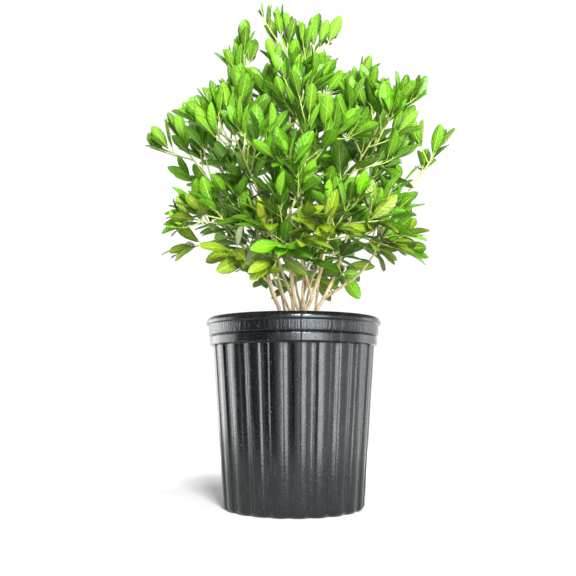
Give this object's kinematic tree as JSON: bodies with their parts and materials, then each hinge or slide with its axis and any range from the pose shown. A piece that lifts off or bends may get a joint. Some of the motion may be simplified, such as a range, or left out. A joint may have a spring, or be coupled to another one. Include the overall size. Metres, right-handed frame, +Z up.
{
  "type": "potted ocala anise shrub",
  "caption": "Young broadleaf evergreen shrub with several stems, planted in a round fluted nursery pot with a banded rim and filled with potting mix.",
  "frame": {"origin": "centre of the pot's flat underside", "axes": "+Z up through the pot and the plant, -Y towards the front of the picture"},
  "size_m": [0.5049, 0.4248, 0.8038],
  "materials": {
    "pot_plastic": "satin black",
    "bark_mix": "moist shredded bark",
    "tan_bark": "thin smooth bark",
    "leaf_green": "satin leaf"
  },
  "bodies": {
    "root": {"bough_back": "tan_bark", "bough_back_left": "tan_bark", "bough_back_right": "tan_bark", "bough_far_right": "tan_bark", "bough_front": "tan_bark", "bough_front_left": "tan_bark", "bough_front_right": "tan_bark", "bough_left": "tan_bark", "bough_low_back": "tan_bark", "bough_low_back_left": "tan_bark", "bough_low_back_right": "tan_bark", "bough_low_front": "tan_bark", "bough_low_front_left": "tan_bark", "bough_low_front_right": "tan_bark", "bough_low_left": "tan_bark", "bough_low_right": "tan_bark", "bough_right": "tan_bark", "bough_shoulder_left": "tan_bark", "bough_top": "tan_bark", "bough_top_right": "tan_bark", "bough_upper_back": "tan_bark", "bough_upper_front": "tan_bark", "bough_upper_left": "tan_bark", "bough_upper_right": "tan_bark", "foliage_back": "leaf_green", "foliage_back_left": "leaf_green", "foliage_back_right": "leaf_green", "foliage_far_right": "leaf_green", "foliage_front": "leaf_green", "foliage_front_left": "leaf_green", "foliage_front_right": "leaf_green", "foliage_left": "leaf_green", "foliage_low_back": "leaf_green", "foliage_low_back_left": "leaf_green", "foliage_low_back_right": "leaf_green", "foliage_low_front": "leaf_green", "foliage_low_front_left": "leaf_green", "foliage_low_front_right": "leaf_green", "foliage_low_left": "leaf_green", "foliage_low_right": "leaf_green", "foliage_right": "leaf_green", "foliage_shoulder_left": "leaf_green", "foliage_top": "leaf_green", "foliage_top_right": "leaf_green", "foliage_upper_back": "leaf_green", "foliage_upper_front": "leaf_green", "foliage_upper_left": "leaf_green", "foliage_upper_right": "leaf_green", "leader": "tan_bark", "pot": "pot_plastic", "potting_mix": "bark_mix", "stem_back": "tan_bark", "stem_centre": "tan_bark", "stem_left": "tan_bark", "stem_left_back": "tan_bark", "stem_right": "tan_bark", "stem_right_front": "tan_bark"}
  },
  "joints": []
}
